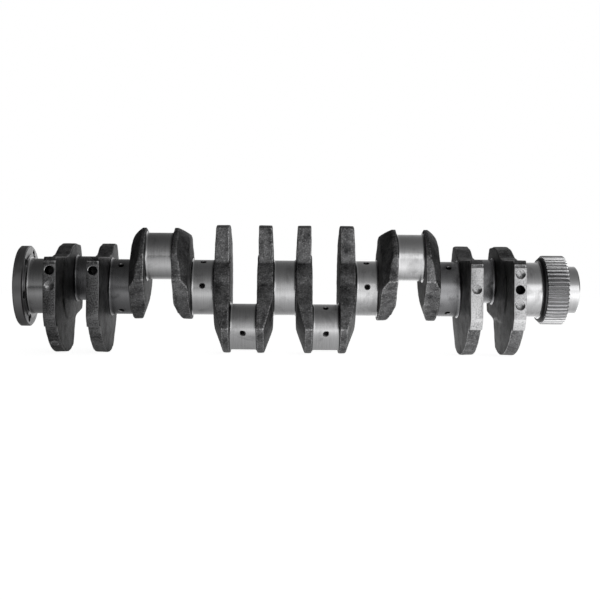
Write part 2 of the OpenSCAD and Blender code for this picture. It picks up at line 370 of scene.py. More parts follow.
@dataclass(frozen=True)
class ForgedSkin:
    """Shot-blasted forged steel: dark scale with a grain, rubbed bright on its edges. The bright edges are
    partly wear and partly painted highlight; bright specks are painted glints, and the side faces carry
    painted shade.
    """

    name: str = "forged_steel_shot_blasted"
    scale_grey: str = "#3e3e3f"
    # Colour of the rubbed edges, which also serves as the painted highlights and glints.
    worn_grey: str = "#949495"
    rub_and_highlight_grey: str = "#cfcfd0"
    # Shot leaves dimples under a millimetre wide, drawn coarser so that they show.
    grain_mm: float = 2.6
    patch_mm: float = 26.0
    pit_mm: float = 7.0
    bump_mm: float = 0.8
    metallic: float = 0.85

    def make(self) -> bpy.types.Material:
        """Builds the material.

        Returns:
            The material, which reads the flank attribute of a web.
        """
        material = bpy.data.materials.new(self.name)
        material.use_nodes = True
        tree = material.node_tree
        shader = tree.nodes["Principled BSDF"]
        place = add_node(tree, "ShaderNodeTexCoord").outputs["Object"]
        patches = add_node(
            tree, "ShaderNodeTexNoise", {"Vector": place, "Scale": per_mm(self.patch_mm), "Detail": 4.0}
        )
        grain = add_node(
            tree,
            "ShaderNodeTexNoise",
            {"Vector": place, "Scale": per_mm(self.grain_mm), "Detail": 3.0, "Roughness": 0.65},
        )
        pits = add_node(
            tree,
            "ShaderNodeTexNoise",
            {"Vector": place, "Scale": per_mm(self.pit_mm), "Detail": 5.0, "Roughness": 0.7},
        )
        # Convex edges have lost their scale, broken up by the grain. The rub is also a painted highlight,
        # standing in for the light that the rounded edges catch.
        edge = add_node(tree, "ShaderNodeNewGeometry").outputs["Pointiness"]
        ragged = add_node(
            tree,
            "ShaderNodeMath",
            {0: grain.outputs["Fac"], 1: 0.10, 2: edge},
            operation="MULTIPLY_ADD",
        )
        edge_rub_and_highlight = add_node(
            tree,
            "ShaderNodeMapRange",
            {"Value": ragged.outputs[0], "From Min": 0.56, "From Max": 0.61},
            interpolation_type="SMOOTHSTEP",
        )
        # Single specks of the grain are painted bright: painted glints of light.
        glint_specks = add_node(
            tree,
            "ShaderNodeMapRange",
            {"Value": grain.outputs["Fac"], "From Min": 0.6, "From Max": 0.74, "To Max": 0.6},
        )
        brightest = add_node(
            tree, "ShaderNodeMath", {0: edge_rub_and_highlight.outputs[0], 1: glint_specks.outputs[0]}, operation="MAXIMUM"
        )
        # The side faces, which face along the shaft, are coloured darker than the flanks and without grain,
        # rub or glints: the darkening is painted shade, where the webs hide each other from the light.
        flank = add_node(tree, "ShaderNodeAttribute", attribute_name=FLANK).outputs["Fac"]
        unshaded_flank = add_node(tree, "ShaderNodeMapRange", {"Value": flank, "From Min": 0.04, "From Max": 0.35})
        rub_and_glints = add_node(
            tree, "ShaderNodeMath", {0: brightest.outputs[0], 1: unshaded_flank.outputs[0]}, operation="MULTIPLY"
        )
        mottle = add_node(
            tree, "ShaderNodeMix", {0: 0.45, 2: patches.outputs["Fac"], 3: pits.outputs["Fac"]}
        )
        tone = add_node(tree, "ShaderNodeValToRGB", {"Fac": mottle.outputs[0]})
        set_ramp(tone, [(0.36, self.scale_grey), (0.64, self.worn_grey)])
        shade = add_node(
            tree,
            "ShaderNodeMapRange",
            {
                "Value": grain.outputs["Fac"],
                "From Min": 0.34,
                "From Max": 0.66,
                "To Min": 0.55,
                "To Max": 1.3,
            },
        )
        # Side faces take a flat 0.5 as painted shade; flanks take the grain's tone.
        depth = add_node(tree, "ShaderNodeMix", {0: unshaded_flank.outputs[0], 2: 0.5, 3: shade.outputs[0]})
        grained = add_node(
            tree,
            "ShaderNodeMix",
            {0: 1.0, 6: tone.outputs["Color"], 7: depth.outputs[0]},
            data_type="RGBA",
            blend_type="MULTIPLY",
        )
        colour = add_node(
            tree,
            "ShaderNodeMix",
            {0: rub_and_glints.outputs[0], 6: grained.outputs[2], 7: linear(self.rub_and_highlight_grey)},
            data_type="RGBA",
        )
        rough = add_node(
            tree,
            "ShaderNodeMapRange",
            {"Value": rub_and_glints.outputs[0], "To Min": 0.52, "To Max": 0.34},
        )
        height = add_node(tree, "ShaderNodeMix", {0: 0.5, 2: grain.outputs["Fac"], 3: pits.outputs["Fac"]})
        bump = add_node(
            tree,
            "ShaderNodeBump",
            {"Height": height.outputs[0], "Distance": self.bump_mm * MM * 2, "Strength": 0.7},
        )
        tree.links.new(colour.outputs[2], shader.inputs["Base Color"])
        tree.links.new(rough.outputs[0], shader.inputs["Roughness"])
        tree.links.new(bump.outputs[0], shader.inputs["Normal"])
        shader.inputs["Metallic"].default_value = self.metallic
        return material


@dataclass(frozen=True)
class CutSteel:
    """Bare steel that a tool has cut: rings or lines left by the tool, with faint oil smudges."""

    name: str
    bright_grey: str
    smudge_grey: str
    roughness: float
    line_mm: float
    # How many times longer a tool line is than it is wide.
    stretch: float = 60.0
    line_depth_mm: float = 0.01
    smudge: float = 0.5
    along_shaft: bool = False
    stain_mm: float = 38.0

    def make(self) -> bpy.types.Material:
        """Builds the material.

        Returns:
            The material.
        """
        material = bpy.data.materials.new(self.name)
        material.use_nodes = True
        tree = material.node_tree
        shader = tree.nodes["Principled BSDF"]
        place = add_node(tree, "ShaderNodeTexCoord").outputs["Object"]
        short = 1 / self.stretch
        squeeze = (short, 1.0, 1.0) if self.along_shaft else (1.0, short, short)
        drawn = add_node(tree, "ShaderNodeMapping", {"Vector": place, "Scale": squeeze})
        lines = add_node(
            tree,
            "ShaderNodeTexNoise",
            {"Vector": drawn.outputs[0], "Scale": per_mm(self.line_mm), "Detail": 2.0},
        )
        smudges = add_node(
            tree,
            "ShaderNodeTexNoise",
            {
                "Vector": place,
                "Scale": per_mm(self.stain_mm),
                "Detail": 5.0,
                "Roughness": 0.6,
                "Distortion": 0.6,
            },
        )
        stained = add_node(
            tree,
            "ShaderNodeMapRange",
            {"Value": smudges.outputs["Fac"], "From Min": 0.5, "From Max": 0.72, "To Max": self.smudge},
            interpolation_type="SMOOTHSTEP",
        )
        tone = add_node(
            tree,
            "ShaderNodeMix",
            {0: stained.outputs[0], 6: linear(self.bright_grey), 7: linear(self.smudge_grey)},
            data_type="RGBA",
        )
        shade = add_node(
            tree,
            "ShaderNodeMapRange",
            {"Value": lines.outputs["Fac"], "From Min": 0.3, "From Max": 0.7, "To Min": 0.84, "To Max": 1.0},
        )
        colour = add_node(
            tree,
            "ShaderNodeMix",
            {0: 1.0, 6: tone.outputs[2], 7: shade.outputs[0]},
            data_type="RGBA",
            blend_type="MULTIPLY",
        )
        rough = add_node(
            tree,
            "ShaderNodeMapRange",
            {
                "Value": lines.outputs["Fac"],
                "From Min": 0.3,
                "From Max": 0.7,
                "To Min": self.roughness * 0.85,
                "To Max": self.roughness * 1.15,
            },
        )
        bump = add_node(
            tree,
            "ShaderNodeBump",
            {"Height": lines.outputs["Fac"], "Distance": self.line_depth_mm * MM, "Strength": 1.0},
        )
        tree.links.new(colour.outputs[2], shader.inputs["Base Color"])
        tree.links.new(rough.outputs[0], shader.inputs["Roughness"])
        tree.links.new(bump.outputs[0], shader.inputs["Normal"])
        shader.inputs["Metallic"].default_value = 1.0
        return material


@dataclass
class Finishes:
    """The finishes of the shaft, made once each."""

    forged: bpy.types.Material = field(default_factory=ForgedSkin().make)
    # Fine cylindrical grinding. Its real 0.02 mm lines are drawn 0.7 mm wide, so that they show.
    ground: bpy.types.Material = field(
        default_factory=CutSteel("carbon_steel_ground", "#d6d6d7", "#8a8a8b", 0.2, 0.7).make
    )
    # The same grinding coloured darker and smudged: partly a film of old oil, partly painted shade for
    # journals that reflect the dark webs round them.
    oil_smudged_and_shaded: bpy.types.Material = field(
        default_factory=CutSteel(
            "carbon_steel_ground_oil_and_painted_shade", "#98989a", "#3c3c3d", 0.26, 0.7, smudge=0.9
        ).make
    )
    # Lathe turning leaves coarser rings, drawn 1.2 mm wide.
    turned: bpy.types.Material = field(
        default_factory=CutSteel("carbon_steel_turned", "#b2b2b3", "#7c7c7d", 0.36, 1.2).make
    )
    # A pad of the forging dressed with a coarse grinding wheel, which leaves it pitted.
    faced: bpy.types.Material = field(
        default_factory=ForgedSkin("forged_steel_rough_ground", "#8c8c8d", "#c0c0c1", grain_mm=2.4).make
    )
    # The same dressing coloured darker, as painted shade for the pads of webs 11 and 12, at the flange end
    # that the light reaches less.
    faced_shaded: bpy.types.Material = field(
        default_factory=ForgedSkin("forged_steel_rough_ground_painted_shade", "#2e2e2f", "#606061", "#8a8a8b").make
    )
    # Drilled bores are coloured dark inside, painted shade of their depth. So is the shoulder behind the
    # gear, painted shadow of the gear.
    drilled_shaded: bpy.types.Material = field(
        default_factory=CutSteel("carbon_steel_drilled_painted_shade", "#4a4a4b", "#2b2b2c", 0.5, 0.8).make
    )
    # The tips and roots of the teeth are coloured darker than their flanks.
    tooth_tip: bpy.types.Material = field(
        default_factory=CutSteel("alloy_steel_dark_tips", "#747475", "#5c5c5d", 0.34, 1.0).make
    )
    # Hobbing leaves its marks along the teeth.
    hobbed: bpy.types.Material = field(
        default_factory=CutSteel(
            "alloy_steel_hobbed", "#efeff0", "#b8b8b9", 0.26, 1.0, along_shaft=True, smudge=0.3
        ).make
    )


# --------------------------------------------------------------------------- the shaft's layout


@dataclass
class Journal:
    """Place and size of a journal or crankpin, in millimetres."""

    start: float
    end: float
    centre: Vector
    radius: float

    @classmethod
    def of_node(cls, node: str) -> "Journal":
        """Reads a journal from a CAD node's box.

        Args:
            node: CAD node of a journal or crankpin.

        Returns:
            The journal.
        """
        low, high = box_mm(node)
        centre = (low + high) / 2
        return cls(low.x, high.x, Vector((0, centre.y, centre.z)), (high.z - low.z) / 2)

    @property
    def middle(self) -> float:
        """Middle of the journal along the shaft."""
        return (self.start + self.end) / 2


@dataclass
class Shaft:
    """Where the frame puts the journals, counted from the gear end."""

    mains: dict[int, Journal]
    pins: dict[int, Journal]

    @classmethod
    def of_frame(cls) -> "Shaft":
        """Reads the layout from the CAD nodes' boxes.

        Returns:
            The layout.
        """
        mains = {k: Journal.of_node(f"main_journal_{k}") for k in range(1, MAIN_COUNT + 1)}
        pins = {k: Journal.of_node(f"crankpin_{k}") for k in range(1, PIN_COUNT + 1)}
        return cls(mains, pins)

    @property
    def throw(self) -> float:
        """Distance from the shaft's axis to a crankpin's centre."""
        return self.pins[1].centre.length

    def throw_angle(self, pin: int) -> float:
        """Angle of a crankpin round the shaft, from +Y towards +Z, in radians."""
        centre = self.pins[pin].centre
        return math.atan2(centre.z, centre.y)


def spoke(radius: float, degrees: float) -> Vector:
    """The point at a radius and an angle from +Y towards +Z."""
    turn = math.radians(degrees)
    return Vector((0, radius * math.cos(turn), radius * math.sin(turn)))


# --------------------------------------------------------------------------- journals


@dataclass
class GroundJournals:
    """Main journals and crankpins, with rolled fillets and countersunk oil holes."""

    shaft: Shaft
    finishes: Finishes
    fillet: float = 3.0
    fillet_steps: int = 5
    ring_pitch: float = 2.4
    main_oil: float = 9.0
    pin_oil: float = 8.0
    oil_depth: float = 24.0
    countersink: float = 1.4
    # How much wider than the gallery its bright rim is, and how deep.
    rim_extra: float = 0.4
    rim_depth: float = 0.6
    gallery_turn: float = -57.0
    cross_drilled_pin: int = 3
    cross_drill_angle: float = 123.0
    # Journals that take the darker, smudged grinding: oil stains, and painted shade where they reflect the
    # dark webs round them.
    oil_smudged_and_shaded: tuple[str, ...] = ("main_journal_2", "main_journal_6", "crankpin_1", "crankpin_6")

    def profile(self, journal: Journal) -> list[Point]:
        """Points of a journal with a concave fillet at each end.

        Args:
            journal: The journal.

        Returns:
            Points (x, radius) from its start to its end, to be turned on the lathe.
        """
        steps = [math.pi / 2 * i / self.fillet_steps for i in range(self.fillet_steps + 1)]
        curve = [(self.fillet * (1 - math.cos(t)), self.fillet * (1 - math.sin(t))) for t in steps]
        near = [(journal.start + x, journal.radius + r) for x, r in curve]
        far = [(journal.end - x, journal.radius + r) for x, r in reversed(curve)]
        left, right = near[-1][0], far[0][0]
        rings = round((right - left) / self.ring_pitch)
        plain = [(left + (right - left) * i / rings, journal.radius) for i in range(1, rings)]
        return [(journal.start, 0), *near, *plain, *far, (journal.end, 0)]

    def outlets(self, journal: Journal, angles: Sequence[float], bore: float) -> list[bmesh.types.BMesh]:
        """Oil holes square to a journal.

        Args:
            journal: The journal that they are drilled in.
            angles: Their angles from +Y towards +Z, in degrees.
            bore: Their diameter.

        Returns:
            The cutting shells.
        """
        middle = journal.centre + AXIS * journal.middle
        return [
            drill(middle + spoke(journal.radius, a), -spoke(1, a), bore, self.oil_depth, self.countersink)
            for a in angles
        ]

    def gallery(self, pin: int) -> tuple[bmesh.types.BMesh, bmesh.types.BMesh]:
        """The oblique oil gallery that comes out on a crankpin, and its countersink.

        Args:
            pin: Number of the crankpin.

        Returns:
            The cutting shells of the gallery and of the countersink.
        """
        journal = self.shaft.pins[pin]
        source = self.shaft.mains[pin if pin <= PIN_COUNT // 2 else pin + 1].middle * AXIS
        outward = spoke(journal.radius, math.degrees(self.shaft.throw_angle(pin)) + self.gallery_turn)
        mouth = journal.centre + AXIS * journal.middle + outward
        bore = drill(mouth, (source - mouth).normalized(), self.pin_oil, self.oil_depth, 0)
        rim_bore = self.pin_oil + self.rim_extra
        square = -outward.normalized()
        rim = drill(mouth, square, rim_bore, self.rim_depth, self.countersink, bright=True)
        return bore, rim

    def make(self, node: str, journal: Journal, cuts: list[list[bmesh.types.BMesh]]) -> None:
        """Turns one journal, drills it in one cut after another and dresses it.

        Args:
            node: CAD node that it stands for.
            journal: Its place and size.
            cuts: The cutting shells of each cut.
        """
        bm = lathe(self.profile(journal))
        bmesh.ops.translate(bm, vec=journal.centre, verts=bm.verts)
        finish = self.finishes.oil_smudged_and_shaded if node in self.oil_smudged_and_shaded else self.finishes.ground
        mesh = to_mesh(node, [bm], [finish])
        for holes in cuts:
            # The bore walls take the dark finish, painted shade.
            tools = to_mesh("holes", holes, [self.finishes.drilled_shaded, self.finishes.turned])
            mesh = carve(mesh, tools)
        finish_piece(f"{node}_ground", mesh, [node])

    def build(self) -> None:
        """Builds all thirteen journals."""
        # Angles of the oil holes of a main journal and of the one as far from the other end.
        drillings = {1: (60, 300), 2: (130, 240), 3: (177, 114), 4: (60,)}
        for k, journal in self.shaft.mains.items():
            angles = drillings[min(k, MAIN_COUNT + 1 - k)]
            self.make(f"main_journal_{k}", journal, [self.outlets(journal, angles, self.main_oil)])
        for k, journal in self.shaft.pins.items():
            extra = [self.cross_drill_angle] if k == self.cross_drilled_pin else []
            bore, rim = self.gallery(k)
            crossing = self.outlets(journal, extra, self.pin_oil)
            self.make(f"crankpin_{k}", journal, [[rim, *crossing], [bore]])


# --------------------------------------------------------------------------- webs


class WebKind(Enum):
    """The three forging patterns of a web and its counterweight."""

    END = "end"
    PLAIN = "plain"
    MIDDLE = "middle"


class Depth(Enum):
    """Depths of the balance drillings, in millimetres."""

    FULL = 30.0
    SPOT = 5.0


@dataclass
class ForgedWeb:
    """One web with its counterweight, if it has one: a forging with a milled pad."""

    number: int
    shaft: Shaft
    finishes: Finishes
    hub_radius: float
    end_margin: float = 4.0
    end_web_margin: float = 14.0
    slim_margin: float = 27.0
    heavy_margin: float = 33.0
    root_inset: float = 4.0
    # Draft of the main journal face of an end throw's web and of the others, in degrees.
    end_draft: float = 4.5
    plain_draft: float = 3.0
    bevel_angle: float = 20.0
    plain_bevel_angle: float = 38.0
    # Where the crankpin side bevel of a plain web starts, as a share of its reach.
    pin_bevel_share: float = 0.73
    end_radius: float = 124.5
    middle_radius: float = 119.0
    weight_recess: float = 2.0
    # Angles from the throw of the counterweights' middles and of the corners on their rims.
    end_weight_turn: float = 212.0
    end_corners: Point = (142.7, 281.7)
    middle_weight_turn: float = 155.0
    middle_corners: Point = (92.0, 218.0)
    # Where the straight edges of the counterweights meet the web, as shares of the throw.
    end_foot_share: float = 0.78
    middle_foot_share: float = 0.38
    # Angle from the throw at which a middle counterweight's other edge meets the hub.
    middle_foot_turn: float = -122.0
    pad_turn: float = 168.0
    pad_reach: float = 122.5
    pad_low: float = 73.0
    pad_top: float = 34.0
    pad_corner: float = 134.0
    pad_rise: float = 1.2
    pad_inset: float = 1.0
    pad_bevel: float = 1.1
    # How far past pad_top the block under the pad ends, and how far past it the pad ends.
    block_overrun: float = 12.0
    pad_overrun: float = 5.0
    # Where the block ends inside the forging, as a share of the pad's reach.
    block_root_share: float = 0.7
    balance_bore: float = 16.5
    balance_chamfer: float = 0.7
    balance_pitch: float = 28.0
    rim_spot_turn: float = -134.0
    voxel: float = 1.7
    rounding: int = 9
    # Width and height of the waves in the forged skin.
    waves: tuple[Point, ...] = ((34.0, 1.4), (9.0, 0.5))

    @property
    def pin(self) -> int:
        """Number of the crankpin that the web carries."""
        return (self.number + 1) // 2

    @property
    def main(self) -> Journal:
        """The main journal on the web's other side."""
        return self.shaft.mains[self.number // 2 + 1]

    @property
    def kind(self) -> WebKind:
        """Forging pattern, by the throw that the web belongs to.

        Returns:
            The pattern.
        """
        if self.pin in (1, PIN_COUNT):
            return WebKind.END
        middle_pins = (PIN_COUNT // 2, PIN_COUNT // 2 + 1)
        return WebKind.MIDDLE if self.pin in middle_pins else WebKind.PLAIN

    @property
    def start(self) -> float:
        """Where the web's hub starts, from its main journal's middle."""
        return (self.main.end - self.main.start) / 2

    @property
    def draft(self) -> float:
        """Slope of the main journal face, outwards from the hub."""
        return math.tan(math.radians(self.end_draft if self.kind is WebKind.END else self.plain_draft))

    @property
    def bevel(self) -> tuple[float, float]:
        """The web's bevel on its main journal face.

        Returns:
            The radius about the shaft at which it starts, and its slope.
        """
        radius, degrees = {
            WebKind.END: (118.0, self.bevel_angle),
            WebKind.PLAIN: (98.0, self.plain_bevel_angle),
            WebKind.MIDDLE: (80.0, self.bevel_angle),
        }[self.kind]
        return radius, math.tan(math.radians(degrees))

    def face_at(self, radius: float) -> float:
        """Place of the drafted main journal face at a radius."""
        return self.start + (radius - self.hub_radius) * self.draft

    @property
    def face(self) -> float:
        """The crankpin face of the web."""
        pin = self.shaft.pins[self.pin]
        return abs(pin.middle - self.main.middle) - (pin.end - pin.start) / 2

    @property
    def end_reach(self) -> float:
        """Radius of the web's far end about the shaft's axis."""
        margin = self.end_web_margin if self.kind is WebKind.END else self.end_margin
        return self.shaft.throw + self.shaft.pins[1].radius + margin

    @property
    def slim(self) -> float:
        """Half the width of a cheek at its crankpin, but for the wider near side of a plain web."""
        return self.shaft.pins[1].radius + self.slim_margin

    @property
    def root(self) -> float:
        """Half the width of a cheek at the shaft's axis."""
        return self.hub_radius - self.root_inset

    def placed(self) -> Matrix:
        """Places the web's own frame on the shaft.

        Returns:
            The transform, which mirrors a web with an odd number.
        """
        turn = Matrix.Rotation(self.shaft.throw_angle(self.pin), 4, "X")
        flip = Matrix.Scale(-1, 4, AXIS) if self.number % 2 else Matrix.Identity(4)
        return Matrix.Translation(AXIS * self.main.middle) @ flip @ turn

    def cheek(self) -> bmesh.types.BMesh:
        """The plate that joins the main journal to the crankpin, bevelled on its main side.

        Returns:
            The plate's shell.
        """
        start, slope = self.bevel
        bevelled = self.face_at(start) + (self.end_reach - start) * slope
        bm = lathe(
            [
                (self.start, 0),
                (self.start, self.hub_radius),
                (self.face_at(start), start),
                (bevelled, self.end_reach),
                (self.face, self.end_reach),
                (self.face, 0),
            ]
        )
        heavy = self.shaft.pins[1].radius + self.heavy_margin
        throw, end, root, slim = self.shaft.throw, self.end_reach, self.root, self.slim
        if self.kind is WebKind.PLAIN:
            near = [
                (-root * 0.16, root * 1.156),
                (throw * 0.3, heavy - 2),
                (throw * 1.1, heavy),
                (end * 0.965, heavy / 2),
            ]
            back = [(end * 0.935, -slim / 2), (throw * 0.86, -slim), (0, -root)]
        else:
            near = [(0, root), (throw * 0.6, slim), (throw, slim), (throw * 1.45, slim * 0.88)]
            back = [(throw * 1.45, -slim), (throw * 0.7, -slim), (0, -root)]
        inside = (throw / 2, 0)
        for outline in (near, back):
            for a, b in zip(outline, outline[1:]):
                trim_edge(bm, a, b, inside)
        trim_edge(bm, near[0], back[-1], inside)
        return bm

    def pin_bevel(self) -> bmesh.types.BMesh:
        """The cone round the crankpin that a plain web's far end is bevelled to.

        Returns:
            The cone's shell.
        """
        start = self.end_reach * self.pin_bevel_share
        run = self.end_reach
        depth = run * math.tan(math.radians(self.bevel_angle))
        bm = lathe(
            [
                (self.face - depth, 0),
                (self.face - depth, start + run),
                (self.face, start),
                (self.face, 0),
            ]
        )
        bmesh.ops.translate(bm, vec=(0, self.shaft.throw, 0), verts=bm.verts)
        return bm

    def blanks(self) -> list[bmesh.types.BMesh]:
        """The cheek and the hub, with a plain web's bevel on the crankpin side of its far end.

        Returns:
            The shells, which overlap.
        """
        shells = [self.cheek(), disc(self.start, self.face, self.hub_radius)]
        if self.kind is not WebKind.PLAIN:
            return shells
        bevelled = []
        for shell in shells:
            cone = to_mesh("bevel", [self.pin_bevel()])
            mesh = carve(to_mesh("blank", [shell]), cone, Cut.INTERSECT)
            body = bmesh.new()
            body.from_mesh(mesh)
            bpy.data.meshes.remove(mesh)
            bevelled.append(body)
        return bevelled

    def weight_lines(self) -> list[tuple[Point, Point]]:
        """The straight edges of the counterweight and the line where it meets the web.

        Returns:
            Two points (y, z) of each line.
        """
        if self.kind is WebKind.END:
            feet = [(2.0, self.root), (self.shaft.throw * self.end_foot_share, 2 - self.slim)]
            angles = self.end_corners
            radius = self.end_radius
        else:
            foot = spoke(self.hub_radius + 0.5, self.middle_foot_turn)
            feet = [(self.shaft.throw * self.middle_foot_share, self.slim - 6), (foot.y, foot.z)]
            angles = self.middle_corners
            radius = self.middle_radius
        rims = [tuple(spoke(radius, a))[1:] for a in angles]
        return [(feet[0], rims[0]), (feet[1], rims[1]), (feet[0], feet[1])]

    def weight_disc(self, radius: float, ease: float = 0.0) -> bmesh.types.BMesh:
        """A drafted disc of the counterweight's thickness, trimmed to its straight edges.

        Args:
            radius: Its outer radius.
            ease: How far it is drawn in from each side of the counterweight.

        Returns:
            The disc's shell.
        """
        back = self.face - self.weight_recess - ease
        bm = lathe(
            [
                (self.start + ease, 0),
                (self.start + ease, self.hub_radius),
                (self.face_at(radius) + ease, radius),
                (back, radius),
                (back, 0),
            ]
        )
        # Any point well within the counterweight shows which side of each line is kept.
        within = spoke(60, self.end_weight_turn if self.kind is WebKind.END else self.middle_weight_turn)
        inside = (within.y, within.z)
        for a, b in self.weight_lines():
            trim_edge(bm, a, b, inside)
        return bm

    def pad_frame(self) -> tuple[Vector, Vector]:
        """Directions square to the pad and down along it."""
        return spoke(1, self.pad_turn), spoke(1, self.pad_turn + 90)

    def pad_block(self, ease: float, drop: float, overrun: float) -> bmesh.types.BMesh:
        """The raised block of an end counterweight that carries the pad, or the pad on it.

        Args:
            ease: How far the block is drawn in from the sides of the counterweight.
            drop: How far its face lies below the finished pad.
            overrun: How far past pad_top it ends.

        Returns:
            The block's shell.
        """
        bm = self.weight_disc(self.pad_corner - drop, ease)
        square, along = self.pad_frame()
        trim(bm, square * (self.pad_reach - drop), square)
        trim(bm, square * self.pad_reach * self.block_root_share, -square)
        trim(bm, along * (self.pad_low - drop), along)
        trim(bm, -along * (self.pad_top + overrun), -along)
        return bm

    def forging(self) -> bpy.types.Mesh:
        """Forges the body.

        Returns:
            Its mesh in millimetres, with rounded edges and an uneven skin.
        """
        shells = self.blanks()
        if self.kind is WebKind.MIDDLE:
            shells.append(self.weight_disc(self.middle_radius))
        if self.kind is WebKind.END:
            rim = self.weight_disc(self.end_radius)
            square = self.pad_frame()[0]
            trim(rim, square * (self.pad_reach - self.pad_rise), square)
            shells += [rim, self.pad_block(0.4, self.pad_rise, self.block_overrun)]
        obj = link("forging", to_mesh("forging", shells))
        remesh = obj.modifiers.new("skin", "REMESH")
        remesh.mode = "VOXEL"
        remesh.voxel_size = self.voxel
        smooth = obj.modifiers.new("rounding", "SMOOTH")
        smooth.iterations = self.rounding
        for width, height in self.waves:
            clouds = bpy.data.textures.new("forging_skin", "CLOUDS")
            clouds.noise_scale = width
            clouds.noise_depth = 2
            uneven = obj.modifiers.new("uneven", "DISPLACE")
            uneven.texture = clouds
            uneven.strength = height
            # The waves go mostly inwards from the nominal surface.
            uneven.mid_level = 0.8
        mesh = baked(obj)
        mesh.materials.clear()
        mesh.materials.append(self.finishes.forged)
        return mesh

    def balance_hole(self, mouth: Vector, outward: Vector, depth: Depth) -> bmesh.types.BMesh:
        """One balance drilling, bright all over if it is only a spot."""
        bright = depth is Depth.SPOT
        return drill(mouth, -outward, self.balance_bore, depth.value, self.balance_chamfer, bright)

    def balance_holes(self) -> list[bmesh.types.BMesh]:
        """Drillings in the pad and rim of an end counterweight.

        Returns:
            The cutting shells.
        """
        # For each web, steps along the pad from its middle and depths.
        plan = {
            1: [(-1, Depth.SPOT), (0, Depth.FULL), (1, Depth.SPOT)],
            2: [(0, Depth.SPOT)],
            11: [(-1, Depth.FULL)],
            12: [(-1, Depth.FULL), (0, Depth.SPOT)],
        }
        square, along = self.pad_frame()
        middle = AXIS * (self.face_at(self.end_radius) + self.face - self.weight_recess) / 2
        holes = []
        for step, depth in plan.get(self.number, []):
            mouth = middle + square * self.pad_reach + along * step * self.balance_pitch
            holes.append(self.balance_hole(mouth, square, depth))
        if self.number == WEB_COUNT:
            rim = spoke(1, self.rim_spot_turn)
            holes.append(self.balance_hole(middle + rim * self.end_radius, rim, Depth.SPOT))
        return holes

    def pad(self) -> bpy.types.Mesh:
        """The milled pad with a broken edge all round.

        Returns:
            Its mesh in millimetres.
        """
        bm = self.pad_block(self.pad_inset, 0, self.pad_overrun)
        rim = [e for e in bm.edges if e.is_manifold and e.calc_face_angle() > math.radians(25)]
        broken = bmesh.ops.bevel(
            bm,
            geom=rim,
            offset=self.pad_bevel,
            segments=2,
            profile=0.5,
            affect="EDGES",
            material=-1,
            clamp_overlap=True,
        )
        for face in broken["faces"]:
            face.material_index = 1
        # Webs 11 and 12 take the darker copy of the dressing, painted shade.
        face_finish = self.finishes.faced if self.number <= 2 else self.finishes.faced_shaded
        return to_mesh("pad", [bm], [face_finish, self.finishes.turned])

    def build(self) -> None:
        """Forges, machines and dresses the web."""
        parts = [self.forging()]
        if self.kind is WebKind.END:
            # The bore walls take the dark finish, painted shade.
            lining = [self.finishes.drilled_shaded, self.finishes.ground]
            tools = to_mesh("holes", self.balance_holes(), lining)
            parts = [carve(parts[0], tools.copy()), carve(self.pad(), tools)]
        body = bmesh.new()
        materials: list[bpy.types.Material] = []
        for part in parts:
            first = len(body.faces)
            lookup = []
            for material in part.materials:
                if material not in materials:
                    materials.append(material)
                lookup.append(materials.index(material))
            body.from_mesh(part)
            body.faces.ensure_lookup_table()
            for face in body.faces[first:]:
                face.material_index = lookup[face.material_index]
            bpy.data.meshes.remove(part)
        bmesh.ops.transform(body, matrix=self.placed(), verts=body.verts)
        if self.number % 2:
            bmesh.ops.reverse_faces(body, faces=body.faces)
        mesh = to_mesh(f"web_{self.number}", [body], materials)
        flank = mesh.attributes.new(FLANK, "FLOAT", "POINT")
        flank.data.foreach_set("value", [1 - abs(normal.vector.x) for normal in mesh.vertex_normals])
        nodes = [f"web_{self.number}"]
        if self.kind is not WebKind.PLAIN:
            nodes.append(f"counterweight_{self.number}")
        finish_piece(f"web_{self.number}_forged", mesh, nodes)


# --------------------------------------------------------------------------- the two ends


@dataclass
class RearFlange:
    """The flange that the flywheel bolts to, with its pilot bore."""

    finishes: Finishes
    bolt_count: int = 6
    bolt_circle: float = 63.0
    bolt_bore: float = 13.0
    first_bolt: float = 16.0
    pilot_radius: float = 26.0
    pilot_depth: float = 16.0
    neck_radius: float = 61.0
    neck: float = 1.5
    chamfer: float = 2.0

    def build(self) -> None:
        """Turns the flange, drills it and dresses it."""
        low, high = box_mm("rear_flange")
        radius = (high.z - low.z) / 2
        face = high.x - self.neck
        c = self.chamfer
        bm = lathe(
            [
                (low.x + self.pilot_depth, 0),
                (low.x + self.pilot_depth, self.pilot_radius),
                (low.x + 1, self.pilot_radius),
                (low.x, self.pilot_radius + 1),
                (low.x, radius - c),
                (low.x + c, radius),
                (face - c, radius),
                (face, radius - c),
                (face, self.neck_radius + 1.5),
                (face + 0.5, self.neck_radius),
                (high.x, self.neck_radius),
                (high.x, 0),
            ]
        )
        holes = []
        for i in range(self.bolt_count):
            angle = self.first_bolt + 360 / self.bolt_count * i
            mouth = spoke(self.bolt_circle, angle) + AXIS * face
            holes.append(drill(mouth, -AXIS, self.bolt_bore, face - low.x + 10, 1.0))
        mesh = to_mesh("flange", [bm], [self.finishes.turned])
        # The bore walls take the dark finish, painted shade.
        tools = to_mesh("holes", holes, [self.finishes.drilled_shaded, self.finishes.turned])
        finish_piece("rear_flange_turned", carve(mesh, tools), ["rear_flange"])


